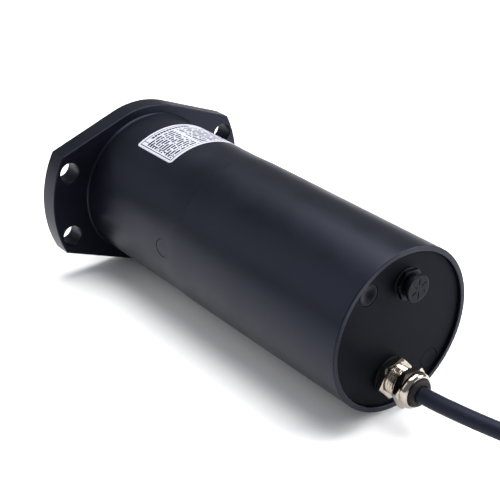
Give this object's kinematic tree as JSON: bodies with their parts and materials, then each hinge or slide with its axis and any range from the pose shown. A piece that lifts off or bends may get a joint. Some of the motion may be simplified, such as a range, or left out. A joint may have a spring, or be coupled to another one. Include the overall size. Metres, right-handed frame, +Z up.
{
  "type": "roller shutter motor",
  "caption": "Tubular gear motor that drives a roller shutter, with a flange for its mount, a keyed output shaft, two planetary stages, a brake and a coiled mains cable.",
  "frame": {"origin": "middle of the motor's length, cord left out, at the height of the floor it lies on", "axes": "+X along the motor from the output shaft to the mains cable, +Z up, +Y across the flange's long side"},
  "size_m": [0.5553, 0.15, 0.1116],
  "materials": {
    "black_paint": "satin enamel",
    "cover_grey": "fine matte paint",
    "black_plastic": "moulded",
    "black_rubber": "matte",
    "nickel_plate": "polished nickel plate",
    "ground_steel": "ground",
    "gear_steel": "cut and oiled",
    "lamination_steel": "stacked sheet",
    "enamelled_copper": "enamelled winding",
    "cast_aluminium": "cast and turned",
    "label_film": "printed film",
    "white_plastic": "moulded",
    "brake_lining": "friction lining",
    "core_plastic": "extruded insulation"
  },
  "bodies": {
    "motor_body": {"mounting_flange": "black_paint", "gear_housing": "black_paint", "oil_plug": "black_paint", "rating_label": "label_film", "motor_tube": "black_paint", "rear_cover": "cover_grey", "upper_limit_plug": "black_plastic", "lower_limit_plug": "black_plastic", "vent_plug_seal": "black_rubber", "vent_plug_body": "black_plastic", "vent_cap": "black_plastic", "gland_washer": "black_rubber", "gland_body": "nickel_plate", "gland_cap_nut": "nickel_plate", "gland_seal": "black_rubber", "gland_lock_nut": "nickel_plate", "cable_lead": "black_rubber", "cable_coil": "black_rubber", "cable_tail": "black_rubber", "up_core": "core_plastic", "down_core": "core_plastic", "neutral_core": "core_plastic", "earth_core": "core_plastic", "cable_tie_1": "black_plastic", "cable_tie_2": "black_plastic", "shaft_seal": "black_rubber", "output_bearing_1": "ground_steel", "output_bearing_2": "ground_steel", "ring_gear": "gear_steel", "motor_front_plate": "cast_aluminium", "motor_front_bearing": "ground_steel", "motor_rear_plate": "cast_aluminium", "motor_rear_bearing": "ground_steel", "stator_core": "lamination_steel", "front_winding": "enamelled_copper", "rear_winding": "enamelled_copper", "brake_magnet": "ground_steel", "connection_tray": "white_plastic", "run_capacitor": "cast_aluminium", "terminal_block": "white_plastic", "upper_limit_switch": "black_plastic", "lower_limit_switch": "black_plastic"},
    "output": {"output_shaft": "ground_steel", "shaft_key": "ground_steel", "output_carrier": "gear_steel"},
    "output_planet_1": {"output_planet_1": "gear_steel"},
    "output_planet_2": {"output_planet_2": "gear_steel"},
    "output_planet_3": {"output_planet_3": "gear_steel"},
    "first_stage": {"first_carrier": "gear_steel", "output_sun_gear": "gear_steel"},
    "first_planet_1": {"first_planet_1": "gear_steel"},
    "first_planet_2": {"first_planet_2": "gear_steel"},
    "first_planet_3": {"first_planet_3": "gear_steel"},
    "rotor": {"first_sun_gear": "gear_steel", "rotor_shaft": "ground_steel", "rotor_core": "lamination_steel", "brake_disc": "brake_lining"},
    "brake_armature": {"brake_armature": "ground_steel"},
    "upper_limit_screw": {"upper_limit_screw": "ground_steel"},
    "lower_limit_screw": {"lower_limit_screw": "ground_steel"}
  },
  "joints": [
    {"name": "output_turn", "type": "hinge", "parent": "motor_body", "child": "output", "pos_m": [-0.1071, 0, 0.0558], "axis": [1, 0, 0], "continuous": true},
    {"name": "output_planet_1_turn", "type": "hinge", "parent": "output", "child": "output_planet_1", "pos_m": [-0.0695, 0, 0.0774], "axis": [1, 0, 0], "continuous": true},
    {"name": "output_planet_2_turn", "type": "hinge", "parent": "output", "child": "output_planet_2", "pos_m": [-0.0695, -0.01871, 0.045], "axis": [1, 0, 0], "continuous": true},
    {"name": "output_planet_3_turn", "type": "hinge", "parent": "output", "child": "output_planet_3", "pos_m": [-0.0695, 0.01871, 0.045], "axis": [1, 0, 0], "continuous": true},
    {"name": "first_stage_turn", "type": "hinge", "parent": "motor_body", "child": "first_stage", "pos_m": [-0.0539, 0, 0.0558], "axis": [1, 0, 0], "continuous": true},
    {"name": "first_planet_1_turn", "type": "hinge", "parent": "first_stage", "child": "first_planet_1", "pos_m": [-0.0433, 0, 0.0774], "axis": [1, 0, 0], "continuous": true},
    {"name": "first_planet_2_turn", "type": "hinge", "parent": "first_stage", "child": "first_planet_2", "pos_m": [-0.0433, -0.01871, 0.045], "axis": [1, 0, 0], "continuous": true},
    {"name": "first_planet_3_turn", "type": "hinge", "parent": "first_stage", "child": "first_planet_3", "pos_m": [-0.0433, 0.01871, 0.045], "axis": [1, 0, 0], "continuous": true},
    {"name": "rotor_turn", "type": "hinge", "parent": "motor_body", "child": "rotor", "pos_m": [0.0384, 0, 0.0558], "axis": [1, 0, 0], "continuous": true},
    {"name": "brake_lift", "type": "slide", "parent": "motor_body", "child": "brake_armature", "axis": [1, 0, 0], "range_m": [0, 0.0004], "stiffness_N_per_m": 2000, "springref_m": -0.0002},
    {"name": "upper_limit_turn", "type": "hinge", "parent": "motor_body", "child": "upper_limit_screw", "pos_m": [0.1299, -0.02572, 0.08539], "axis": [1, 0, 0], "continuous": true},
    {"name": "lower_limit_turn", "type": "hinge", "parent": "motor_body", "child": "lower_limit_screw", "pos_m": [0.1299, 0.02673, 0.02713], "axis": [1, 0, 0], "continuous": true}
  ],
  "couplings": [
    {"joint": "output_planet_1_turn", "follows": "output_turn", "ratio": -2.5},
    {"joint": "output_planet_2_turn", "follows": "output_turn", "ratio": -2.5},
    {"joint": "output_planet_3_turn", "follows": "output_turn", "ratio": -2.5},
    {"joint": "first_stage_turn", "follows": "output_turn", "ratio": 6},
    {"joint": "first_planet_1_turn", "follows": "output_turn", "ratio": -15},
    {"joint": "first_planet_2_turn", "follows": "output_turn", "ratio": -15},
    {"joint": "first_planet_3_turn", "follows": "output_turn", "ratio": -15},
    {"joint": "rotor_turn", "follows": "output_turn", "ratio": 36}
  ]
}
